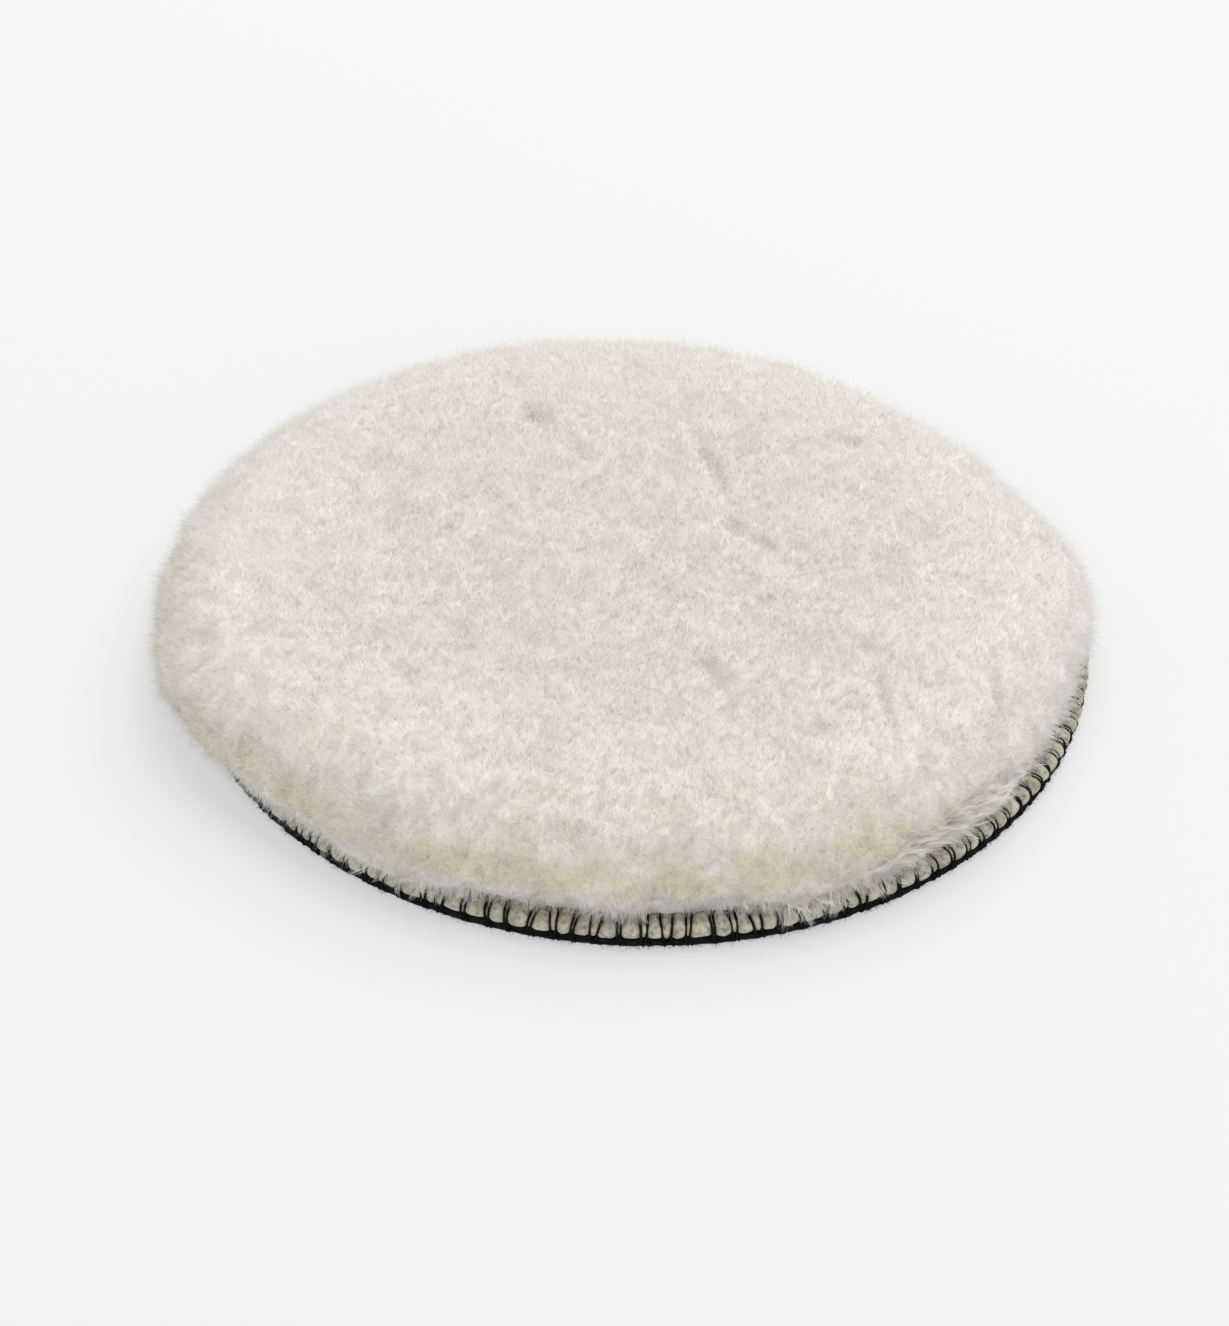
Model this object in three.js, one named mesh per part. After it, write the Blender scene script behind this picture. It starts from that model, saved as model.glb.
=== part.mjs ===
// Lambswool polishing pad: a sheared sheepskin disc glued and overedge-stitched to a black
// hook-and-loop backing. It lies wool side up, with its loop face on the plane z = 0.
// Units are millimetres, +Z is up, and the origin is the centre of the loop face.

import * as THREE from 'three';

// Driving dimensions of the stack, from the loop face up
const PAD_DIAMETER = 150;
const LOOP_PILE_HEIGHT = 1.0;
const BACKING_THICKNESS = 0.5;
const ADHESIVE_THICKNESS = 0.2;
const HIDE_THICKNESS = 2.0;
const WOOL_HEIGHT = 14.0;

// Driving dimensions of the stitched rim
const STITCH_COUNT = 144;
const THREAD_DIAMETER = 0.4;
const THREAD_CLEARANCE = 0.15;
const STITCH_SPREAD = 0.19; // half a strand pair's width at the seam, as a share of a stitch
const STITCH_NIP = 0.13; // and at the rim's shoulder
const STITCH_TURN = 0.07; // and at the rim's edge, where the strand turns back
const SEAM_MARGIN = 2.8; // rim edge to the end of each looper strand
const NEEDLE_MARGIN = 3.3; // rim edge to the line of needle holes
const LOOP_PILE_MARGIN = 3.3; // the loops stop where the stitches press them flat
const ADHESIVE_MARGIN = 4.2;
const HIDE_EDGE_RADIUS = 1.0;

// Driving dimensions of the fleece
const WOOL_FOOT_MARGIN = 3.7; // the bare strip of hide that the stitches wrap
const WOOL_FOOT_HEIGHT = 1.0;
const WOOL_OVERHANG = 2.5; // the bulge beyond the rim
const WOOL_BULGE_HEIGHT = 5.5; // above the hide
const WOOL_FACE_RADIUS = 52; // the flat working face
const WOOL_FACE_DROP = 1.2; // how far the crown falls before the shoulder
const WOOL_SHOULDER_RADIUS = 64;

// Facet counts
const ROUND_SEGMENTS = 72;
const BULGE_STEPS = 4;
const SHOULDER_STEPS = 5;
const EDGE_STEPS = 3;
const THREAD_SIDES = 3;

// Levels worked out from the stack
const RIM_RADIUS = PAD_DIAMETER / 2;
const BACKING_BOTTOM = LOOP_PILE_HEIGHT;
const BACKING_TOP = BACKING_BOTTOM + BACKING_THICKNESS;
const HIDE_BOTTOM = BACKING_TOP + ADHESIVE_THICKNESS;
const HIDE_TOP = HIDE_BOTTOM + HIDE_THICKNESS;
const WOOL_TOP = HIDE_TOP + WOOL_HEIGHT;
const THREAD_RADIUS = THREAD_DIAMETER / 2;

function material(color, roughness) {
  return new THREE.MeshStandardMaterial({ color, roughness, metalness: 0 });
}

const WOOL = material(0xe9e1d6, 1.0);
const HIDE = material(0xcdc6b4, 0.8);
const ADHESIVE = material(0xb9a878, 0.6);
const BACKING = material(0x1b1b1d, 0.9);
const LOOPS = material(0x141416, 1.0);
const THREAD = material(0x0f0f11, 0.7);

function named(name, geometry, pieceMaterial) {
  const mesh = new THREE.Mesh(geometry, pieceMaterial);
  mesh.name = name;
  return mesh;
}

// A solid of revolution about +Z from a profile of [radius, height] pairs, listed upwards.
// LatheGeometry turns about its own +Y, so the finished shape is stood up.
function turned(profile) {
  const points = profile.map(([radius, height]) => new THREE.Vector2(radius, height));
  const geometry = new THREE.LatheGeometry(points, ROUND_SEGMENTS);
  geometry.rotateX(Math.PI / 2);
  return geometry;
}

function plainDisc(radius, bottom, top) {
  return turned([[0, bottom], [radius, bottom], [radius, top], [0, top]]);
}

// Points on a quarter of an ellipse, from the angle startTurn to endTurn in quarter turns
function ellipseArc(centre, radii, startTurn, endTurn, steps) {
  const points = [];
  for (let step = 0; step <= steps; step += 1) {
    const turn = startTurn + ((endTurn - startTurn) * step) / steps;
    const angle = (turn * Math.PI) / 2;
    points.push([centre[0] + radii[0] * Math.cos(angle), centre[1] + radii[1] * Math.sin(angle)]);
  }
  return points;
}

// The sheepskin: a leather disc whose cut edge is rounded by the pull of the stitches
function hideDisc() {
  const inset = RIM_RADIUS - HIDE_EDGE_RADIUS;
  const radii = [HIDE_EDGE_RADIUS, HIDE_EDGE_RADIUS];
  const lower = ellipseArc([inset, HIDE_BOTTOM + HIDE_EDGE_RADIUS], radii, -1, 0, EDGE_STEPS);
  const upper = ellipseArc([inset, HIDE_TOP - HIDE_EDGE_RADIUS], radii, 0, 1, EDGE_STEPS);
  return turned([[0, HIDE_BOTTOM], ...lower, ...upper, [0, HIDE_TOP]]);
}

// The outer shape of the wool: a foot inside the seam, a bulge over the stitches,
// a round shoulder and a slightly crowned working face
function fleecePile() {
  const footRadius = RIM_RADIUS - WOOL_FOOT_MARGIN;
  const bulgeRadius = RIM_RADIUS + WOOL_OVERHANG;
  const bulgeLevel = HIDE_TOP + WOOL_BULGE_HEIGHT;
  const footLevel = HIDE_TOP + WOOL_FOOT_HEIGHT;
  const shoulderLevel = WOOL_TOP - WOOL_FACE_DROP;
  const underside = ellipseArc(
    [footRadius, bulgeLevel],
    [bulgeRadius - footRadius, bulgeLevel - footLevel],
    -1,
    0,
    BULGE_STEPS,
  );
  const shoulder = ellipseArc(
    [WOOL_SHOULDER_RADIUS, bulgeLevel],
    [bulgeRadius - WOOL_SHOULDER_RADIUS, shoulderLevel - bulgeLevel],
    0,
    1,
    SHOULDER_STEPS,
  );
  return turned([
    [0, HIDE_TOP],
    [footRadius, HIDE_TOP],
    ...underside,
    ...shoulder.slice(1),
    [WOOL_FACE_RADIUS, WOOL_TOP],
    [0, WOOL_TOP],
  ]);
}

// A thread's route: straight runs between its bends, with equal steps of t from bend to bend
class ThreadRoute extends THREE.Curve {
  constructor(bends) {
    super();
    this.bends = bends;
  }

  getPoint(t, target = new THREE.Vector3()) {
    const runs = this.bends.length - 1;
    const along = THREE.MathUtils.clamp(t, 0, 1) * runs;
    const run = Math.min(Math.floor(along), runs - 1);
    return target.lerpVectors(this.bends[run], this.bends[run + 1], along - run);
  }

  getPointAt(u, target) {
    return this.getPoint(u, target);
  }

  getTangentAt(u, target) {
    return this.getTangent(u, target);
  }
}

// Sweeps the thread's section along its bends
function threadAlong(bends) {
  const section = new THREE.Shape();
  for (let side = 0; side < THREAD_SIDES; side += 1) {
    const angle = (side * 2 * Math.PI) / THREAD_SIDES;
    const x = THREAD_RADIUS * Math.cos(angle);
    const y = THREAD_RADIUS * Math.sin(angle);
    if (side === 0) section.moveTo(x, y);
    else section.lineTo(x, y);
  }
  section.closePath();
  return new THREE.ExtrudeGeometry(section, {
    steps: bends.length - 1,
    extrudePath: new ThreadRoute(bends),
  });
}

// A point at a radius and height, at a position round the rim counted in stitches
function rimPoint(stitch, radius, height) {
  const angle = (stitch * 2 * Math.PI) / STITCH_COUNT;
  return new THREE.Vector3(radius * Math.cos(angle), radius * Math.sin(angle), height);
}

// A looper thread goes out to the rim edge and back once a stitch, in a narrowing pair of
// strands, and then on along the seam to the next stitch. The ring stays open where the seam
// starts and ends.
function looperThread(flatLevel, edgeLevel) {
  const seamRadius = RIM_RADIUS - SEAM_MARGIN;
  const shoulderRadius = RIM_RADIUS + THREAD_CLEARANCE;
  const edgeRadius = RIM_RADIUS + THREAD_RADIUS + THREAD_CLEARANCE;
  const bends = [];
  for (let stitch = 0; stitch < STITCH_COUNT; stitch += 1) {
    const middle = stitch + 0.5;
    bends.push(rimPoint(middle - STITCH_SPREAD, seamRadius, flatLevel));
    bends.push(rimPoint(middle - STITCH_NIP, shoulderRadius, flatLevel));
    bends.push(rimPoint(middle - STITCH_TURN, edgeRadius, edgeLevel));
    bends.push(rimPoint(middle + STITCH_TURN, edgeRadius, edgeLevel));
    bends.push(rimPoint(middle + STITCH_NIP, shoulderRadius, flatLevel));
    bends.push(rimPoint(middle + STITCH_SPREAD, seamRadius, flatLevel));
  }
  return threadAlong(bends);
}

// The needle thread lies on the hide from hole to hole, inside the looper strands
function needleThread() {
  const radius = RIM_RADIUS - NEEDLE_MARGIN;
  const level = HIDE_TOP + THREAD_RADIUS + THREAD_CLEARANCE;
  const bends = [];
  for (let stitch = 0; stitch < STITCH_COUNT; stitch += 1) {
    bends.push(rimPoint(stitch, radius, level));
  }
  return threadAlong(bends);
}

// The upper looper bends over the hide's round edge, the lower one round the cloth's corner
function upperLooperThread() {
  const flatLevel = HIDE_TOP + THREAD_RADIUS + THREAD_CLEARANCE;
  return looperThread(flatLevel, HIDE_BOTTOM + THREAD_DIAMETER);
}

function lowerLooperThread() {
  const flatLevel = BACKING_BOTTOM - THREAD_RADIUS - THREAD_CLEARANCE;
  return looperThread(flatLevel, BACKING_BOTTOM + THREAD_RADIUS);
}

const loopPile = plainDisc(RIM_RADIUS - LOOP_PILE_MARGIN, 0, BACKING_BOTTOM);
const backingFabric = plainDisc(RIM_RADIUS, BACKING_BOTTOM, BACKING_TOP);
const adhesiveFilm = plainDisc(RIM_RADIUS - ADHESIVE_MARGIN, BACKING_TOP, HIDE_BOTTOM);

const pad = new THREE.Group();
pad.add(named('loop_pile', loopPile, LOOPS));
pad.add(named('backing_fabric', backingFabric, BACKING));
pad.add(named('adhesive_film', adhesiveFilm, ADHESIVE));
pad.add(named('hide_disc', hideDisc(), HIDE));
pad.add(named('fleece_pile', fleecePile(), WOOL));
pad.add(named('needle_thread', needleThread(), THREAD));
pad.add(named('upper_looper_thread', upperLooperThread(), THREAD));
pad.add(named('lower_looper_thread', lowerLooperThread(), THREAD));

export default pad;
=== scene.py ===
"""Lambswool polishing pad: its fleece, hide, cloth and stitches, built round the CAD frame.

The pad lies wool side up. Radii are measured from its axis, and every place along the rim is
an azimuth about it. Lengths are in metres, as in the frame, and MM turns millimetres to metres.
"""

import math

import bpy
import numpy as np
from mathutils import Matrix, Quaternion, Vector


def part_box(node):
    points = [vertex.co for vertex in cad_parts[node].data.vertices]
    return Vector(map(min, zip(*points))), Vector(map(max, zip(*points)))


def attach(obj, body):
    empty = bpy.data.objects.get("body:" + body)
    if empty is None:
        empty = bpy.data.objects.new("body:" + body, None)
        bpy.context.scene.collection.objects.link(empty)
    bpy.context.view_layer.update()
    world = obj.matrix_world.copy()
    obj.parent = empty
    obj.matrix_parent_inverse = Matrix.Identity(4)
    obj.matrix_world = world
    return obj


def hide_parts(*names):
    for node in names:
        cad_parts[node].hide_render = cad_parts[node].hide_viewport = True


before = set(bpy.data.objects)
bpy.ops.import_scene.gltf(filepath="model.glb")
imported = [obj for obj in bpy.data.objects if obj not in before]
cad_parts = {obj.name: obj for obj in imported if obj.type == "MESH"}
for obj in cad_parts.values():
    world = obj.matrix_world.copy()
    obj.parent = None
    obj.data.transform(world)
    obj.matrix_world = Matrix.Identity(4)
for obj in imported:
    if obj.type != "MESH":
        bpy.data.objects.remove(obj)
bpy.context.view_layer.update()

MM = 0.001
TURN = 2 * math.pi
SEED = 7
FLOOR_CLEARANCE = 0.08 * MM

# Levels and radii, from the frame
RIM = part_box("backing_fabric")[1].x
LOOP_LOW, LOOP_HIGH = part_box("loop_pile")[0].z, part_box("loop_pile")[1].z
BACKING_LOW, BACKING_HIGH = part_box("backing_fabric")[0].z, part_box("backing_fabric")[1].z
FILM_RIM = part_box("adhesive_film")[1].x
HIDE_LOW, HIDE_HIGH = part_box("hide_disc")[0].z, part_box("hide_disc")[1].z
WOOL_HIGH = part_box("fleece_pile")[1].z

# The seam: pairs of strands that narrow from the needle holes to the rim's edge
STITCHES = 144
PITCH = TURN / STITCHES
SEAM_SPREAD = 0.19  # half a pair's width at the seam, as a share of the pitch
EDGE_SPREAD = 0.09
NEEDLE_RADIUS = RIM - 3.3 * MM
THREAD_RADIUS = 0.25 * MM
THREAD_LAY = 0.9 * MM  # the length of one turn of its twist
THREAD_STEP = 0.2 * MM
THREAD_FILAMENTS = 6_000

# The hide's edge: a bare strip and a round edge, puffed between the strands
HIDE_COLUMNS = STITCHES * 14
HIDE_ROWS = 26
BARE_STRIP = 2.7 * MM
HIDE_EDGE = (HIDE_HIGH - HIDE_LOW) / 2  # the round edge's radius
EDGE_LENGTH = BARE_STRIP + math.pi * HIDE_EDGE
HIDE_PUFF = 0.45 * MM
HIDE_PINCH = 0.30 * MM

# The fleece's body, which the visible fibres stand on
WOOL_RISE = 1.0 * MM  # how far the fibre tips stand above the body
WOOL_FOOT = RIM - 3.3 * MM
WOOL_SHOULDER = 15 * MM  # the rounded shoulder's radial reach
WOOL_SET_BACK = 1.5 * MM  # set back further than this from the rim, the shoulder reaches further in
WOOL_CROWN = 0.7 * MM
WOOL_RELIEF = ((10, 0.35), (4.5, 0.42), (2.2, 0.14))  # its lumps' size and height, in millimetres
BODY_GRID = 300

# The wool's bulge: azimuth in degrees, and its reach beyond the rim and its level above the
# hide in millimetres
WOOL_OUTLINE = (
    (4, 0.0, 4.9), (10, -2.3, 4.6), (15, -3.8, 4.3), (22, -5.0, 4.0),
    (35, -5.9, 3.6), (50, -6.2, 3.3), (75, -6.2, 3.0), (92, -5.6, 3.2),
    (130, -3.3, 4.2), (150, -0.9, 4.9), (165, 1.3, 4.9), (182, 3.6, 4.9),
    (203, 5.9, 4.9), (213, 5.0, 4.5), (221, 2.3, 3.4), (232, 1.3, 2.6),
    (243, 1.1, 2.0), (250, 0.1, 2.5), (256, -1.3, 3.1), (280, -1.6, 3.2),
    (290, 0.3, 2.0), (301, -0.9, 2.9), (315, -1.3, 3.8), (338, -1.7, 4.2),
    (344, -1.3, 4.5), (350, 0.6, 4.7), (357, 1.1, 4.9),
)

# Where the wool hangs low over the stitches: azimuth and width in degrees
WOOL_DROOPS = ((243, 9), (291, 7))

# Where long wisps hang over the stitches: azimuth and width in degrees, and their share
WOOL_WISPS = ((290, 6, 1.0), (300, 6, 0.45), (312, 5, 0.2), (242, 5, 0.25), (252, 3, 0.15))
COMBED_LOCK = (309, 8)  # azimuth and width in degrees

# Dents in the wool: from, to, half-width and depth, in millimetres from the pad's centre
WOOL_DENTS = (
    ((-19.6, 34.6), (-17.6, 33.4), 1.5, 2.4),
    ((-11.5, 24.5), (-9.0, 22.0), 1.4, 0.9),
    ((8.0, 37.6), (10.6, 27.0), 1.2, 0.5),
    ((11.3, 24.1), (14.6, 13.6), 1.1, 1.2),
    ((15.6, 4.0), (16.6, 1.6), 1.3, 1.9),
    ((19.0, -0.6), (21.4, -2.2), 1.3, 1.0),
    ((33.6, 31.2), (37.4, 29.6), 1.4, 1.7),
    ((10.6, -32.6), (12.6, -34.6), 1.8, 0.9),
    ((55.2, -25.2), (54.3, -42.0), 0.8, 0.6),
    ((35.8, -26.0), (38.8, -52.7), 0.9, 0.45),
    ((-36.0, -33.8), (-34.0, -38.0), 1.3, 0.6),
)

# The backing: its loops, the fibres of its frayed edge, and points round its edge
LOOPS = 11_000
FRAYED_FIBRES = 12_000
BACKING_COLUMNS = 1440

# The pile: fine hairs, straight or curled over at the end, gathered into tufts
STRAIGHT_HAIRS = 330_000
CURLED_HAIRS = 150_000
PILE_SECTORS = 9
STRAIGHT_THICKNESS = 0.10 * MM
CURLED_THICKNESS = 0.07 * MM
PILE_LENGTH = 1.9 * MM
PILE_ROOT = 0.5 * MM  # how deep the roots sit in the body
TUFT_SIZE = 1.4 * MM
FRINGE_HAIRS = 24_000
FRINGE_SECTORS = 3

# Loose hairs, with their lengths and thicknesses in millimetres. A heading says how far the hair
# goes along the normal, how far sideways, that way's turn from straight out, and how far up.
BUNCH = 7  # hairs in a bunch
RIM_HAIRS = dict(
    count=8_400, heading=(1.0, 0.5, 0.0, -0.1), stray=0.38,
    length=(0.9, 2.2), thickness=(0.04, 0.09),
)
WISP_HAIRS = dict(
    count=800, heading=(1.0, 0.9, 0.0, -0.55), stray=0.45,
    length=(1.8, 4.2), thickness=(0.05, 0.09),
)
LOCK_HAIRS = dict(
    count=2_400, heading=(0.25, 1.0, math.pi / 2, 0.30), stray=0.12,
    length=(2.5, 5.5), thickness=(0.06, 0.10),
)

# Colours, as linear red, green and blue
CREAM = (0.980, 0.930, 0.855)
BLUSH = (0.980, 0.920, 0.907)
BEIGE = (0.955, 0.895, 0.790)
# Painted shade, a darker beige low on the front of the wool's side
LOW_SHADE_BEIGE = (0.90, 0.82, 0.655)
FOOT_WOOL = (0.985, 0.94, 0.925)
# Painted shade for the middle of the wool's top
CENTRE_SHADE_WOOL = (0.885, 0.818, 0.793)
SHADED_WOOL = (0.88, 0.82, 0.72)

# Light that passes through a fibre and comes out on its far side
WOOL_SCATTER = {
    "Subsurface_Weight": 0.8,
    "Subsurface_Scale": 0.2 * MM,
    "Subsurface_Radius": (1.0, 0.95, 0.9),
}

HIDE_PALE = (0.58, 0.55, 0.455)
HIDE_DARK = (0.32, 0.29, 0.205)
HIDE_STAIN = (0.24, 0.205, 0.145)
BLACK_CLOTH = (0.012, 0.012, 0.013)
BLACK_THREAD = (0.010, 0.010, 0.011)
BLACK_LOOPS = (0.02, 0.02, 0.022)
GLUE_PALE = (0.62, 0.52, 0.30)
GLUE_DARK = (0.50, 0.40, 0.20)

# The room and the camera
ROOM_LIGHT = 0.67
TABLE_GLOW = 0.48
TABLE_HALF = 4.0
CAMERA_AIM = Vector((-3.5, -13.4, 0)) * MM
CAMERA_ELEVATION = math.radians(40.8)
CAMERA_DISTANCE = 329.4 * MM
CAMERA_ROLL = math.radians(1.6)
CAMERA_LENS = 54.3


# --- Noise and small helpers ---


def hashed(cells, seed):
    """A repeatable random number from 0 to 1 for each integer cell."""
    mixed = cells[..., 0] * 73856093 ^ cells[..., 1] * 19349663 ^ cells[..., 2] * 83492791
    mixed = (mixed + seed * 2654435761) & 0xFFFFFFFF
    mixed = ((mixed ^ (mixed >> 15)) * 2246822519) & 0xFFFFFFFF
    mixed = ((mixed ^ (mixed >> 13)) * 3266489917) & 0xFFFFFFFF
    return (mixed ^ (mixed >> 16)).astype(float) / 0xFFFFFFFF


def noise(points, size, seed):
    """Smooth noise from -1 to 1 whose features are about size across."""
    scaled = points / size
    cell = np.floor(scaled).astype(np.int64)
    part = scaled - cell
    part = part * part * (3 - 2 * part)
    total = np.zeros(len(points))
    for corner in np.ndindex(2, 2, 2):
        offset = np.array(corner)
        weight = np.prod(np.where(offset == 1, part, 1 - part), axis=1)
        total += weight * hashed(cell + offset, seed)
    return 2 * total - 1


def stitch_random(stitch, seed):
    """A repeatable random number from -1 to 1 for each stitch."""
    number = np.asarray(stitch, np.int64) % STITCHES
    return 2 * hashed(np.stack([number, number * 0, number * 0], axis=-1), seed) - 1


def unit(vectors):
    """The vectors, each at length 1."""
    return vectors / np.maximum(np.linalg.norm(vectors, axis=-1, keepdims=True), 1e-12)


def ramp(values, low, high):
    """The values mapped from low..high to 0..1, with soft ends."""
    share = np.clip((values - low) / (high - low), 0, 1)
    return share * share * (3 - 2 * share)


def lobe(azimuth, centre, width):
    """A smooth bump from 0 to 1 round the azimuth centre; centre and width are in degrees."""
    away = (np.degrees(azimuth) - centre + 180) % 360 - 180
    return np.exp(-((away / width) ** 2))


def polar(radius, azimuth, height):
    """Points from their radius, azimuth and height."""
    radius, azimuth, height = np.broadcast_arrays(radius, azimuth, height)
    return np.stack([radius * np.cos(azimuth), radius * np.sin(azimuth), height], axis=-1)


def azimuth_of(points):
    return np.arctan2(points[..., 1], points[..., 0]) % TURN


# --- Meshes ---


def placed(name, data):
    """A new object with that data, in the scene."""
    item = bpy.data.objects.new(name, data)
    bpy.context.scene.collection.objects.link(item)
    return item


def new_mesh(name, points, faces, material, uv=None, attributes=()):
    """A smooth object of triangles or quads on the root body, with one material."""
    mesh = bpy.data.meshes.new(name)
    faces = np.asarray(faces, np.int32)
    mesh.vertices.add(len(points))
    mesh.vertices.foreach_set("co", np.asarray(points, np.float32).ravel())
    mesh.loops.add(faces.size)
    mesh.loops.foreach_set("vertex_index", faces.ravel())
    mesh.polygons.add(len(faces))
    starts = np.arange(len(faces), dtype=np.int32) * faces.shape[1]
    mesh.polygons.foreach_set("loop_start", starts)
    mesh.update(calc_edges=True)
    mesh.polygons.foreach_set("use_smooth", np.ones(len(faces), bool))
    layer = mesh.uv_layers.new(name="OFBake")
    uv = plan_uv(points) if uv is None else uv
    layer.data.foreach_set("uv", uv[faces.ravel()].astype(np.float32).ravel())
    for key, values in dict(attributes).items():
        attribute = mesh.attributes.new(key, "FLOAT", "POINT")
        attribute.data.foreach_set("value", values.astype(np.float32))
    mesh.materials.append(material)
    piece = placed(name, mesh)
    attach(piece, "root")
    return piece


def plan_uv(points):
    """A layout of the points as seen from above, which fills the square."""
    low = points[:, :2].min(0)
    return (points[:, :2] - low) / (points[:, :2].max(0) - low).max()


def grid_faces(rows, columns, closed=False):
    """Quads of a grid of points; a closed grid's last column joins its first."""
    index = np.arange(rows * columns).reshape(rows, columns)
    if closed:
        index = np.concatenate([index, index[:, :1]], axis=1)
    quads = [index[:-1, :-1], index[1:, :-1], index[1:, 1:], index[:-1, 1:]]
    return np.stack(quads, axis=-1).reshape(-1, 4)


def triangles_of(quads):
    return np.concatenate([quads[:, [0, 1, 2]], quads[:, [0, 2, 3]]])


def grid_normals(points):
    """Normals of a square grid of points."""
    across = np.gradient(points, axis=0)
    along = np.gradient(points, axis=1)
    return unit(np.cross(across, along))


def fan(ring, centre):
    """Triangles from a ring of points to the point centre."""
    return np.stack([np.full(len(ring), centre), ring, np.roll(ring, -1)], axis=-1)


def closed_rings(rings, ends):
    """The points and faces of a closed form: rings of points (rings, columns, 3), each joined to
    the next, with a point at each end."""
    count, columns, _ = rings.shape
    first = np.arange(columns)
    last = first + (count - 1) * columns
    sides = triangles_of(grid_faces(count, columns, closed=True))
    last_cap = fan(last, count * columns + 1)[:, [0, 2, 1]]
    faces = np.concatenate([sides, fan(first, count * columns), last_cap])
    return np.concatenate([rings.reshape(-1, 3), ends]), faces


def turned_disc(name, rings, top, bottom, material):
    """A closed disc from its rings: over the top outwards, round the edge and back under."""
    points, faces = closed_rings(rings, [[0, 0, top], [0, 0, bottom]])
    return new_mesh(name, points, faces, material)


def hairs(name, paths, thickness, material, tone=None):
    """One closed, tapering, three-sided hair for each path of the array (hairs, points, 3)."""
    count, length, _ = paths.shape
    paths = paths.copy()
    paths[..., 2] = np.maximum(paths[..., 2], FLOOR_CLEARANCE)
    tangents = unit(np.gradient(paths, axis=1))
    aside = unit(np.cross(tangents, np.array([0.31, 0.52, 0.79])))
    upward = np.cross(tangents, aside)
    taper = np.linspace(1.0, 0.55, length - 1)
    radius = np.asarray(thickness).reshape(-1, 1, 1) / 2 * taper[None, :, None]
    rings = []
    for side in range(3):
        angle = TURN * side / 3
        spoke = math.cos(angle) * aside + math.sin(angle) * upward
        rings.append(paths[:, :-1] + radius * spoke[:, :-1])
    rings = np.stack(rings, axis=2).reshape(count, -1, 3)
    points = np.concatenate([rings, paths[:, -1:]], axis=1)
    pattern = [(2, 1, 0)]
    for ring in range(length - 2):
        for side in range(3):
            low, other = 3 * ring + side, 3 * ring + (side + 1) % 3
            pattern += [(low, other, other + 3), (low, other + 3, low + 3)]
    last = 3 * (length - 2)
    pattern += [(last + side, last + (side + 1) % 3, last + 3) for side in range(3)]
    offsets = np.arange(count)[:, None, None] * points.shape[1]
    faces = (np.array(pattern)[None] + offsets).reshape(-1, 3)
    tip = np.append(np.repeat(np.linspace(0, 1, length)[:-1], 3), 1.0)
    tone = np.zeros(count) if tone is None else tone
    attributes = {"tip": np.tile(tip, count), "tone": np.repeat(tone, len(tip))}
    return new_mesh(name, points.reshape(-1, 3), faces, material, attributes=attributes)


def travelled(path):
    """The distance along the path to each of its points."""
    return np.append(0, np.cumsum(np.linalg.norm(np.diff(path, axis=0), axis=1)))


def carried_frames(tangents):
    """Two directions square to each tangent, carried along the path without turning."""
    aside = np.zeros_like(tangents)
    start = np.cross(tangents[0], (0.3, 0.5, 0.8))
    for number, tangent in enumerate(tangents):
        start = start - tangent * (start @ tangent)
        start = start / math.sqrt(start @ start)
        aside[number] = start
    return aside, np.cross(tangents, aside)


def twisted_thread(name, path, material):
    """A closed two-ply thread along the path: its section has two lobes, and turns as it goes."""
    sides = 8
    tangents = unit(np.gradient(path, axis=0))
    aside, upward = carried_frames(tangents)
    angle = np.arange(sides) * TURN / sides
    reach = THREAD_RADIUS * (0.8 + 0.2 * np.cos(2 * angle))
    turned = (angle[None] + (TURN * travelled(path) / THREAD_LAY)[:, None])[..., None]
    spokes = np.cos(turned) * aside[:, None] + np.sin(turned) * upward[:, None]
    rings = path[:, None] + reach[None, :, None] * spokes
    points, faces = closed_rings(rings, [path[0], path[-1]])
    return new_mesh(name, points, faces[:, ::-1], material)


# --- Materials ---


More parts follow.
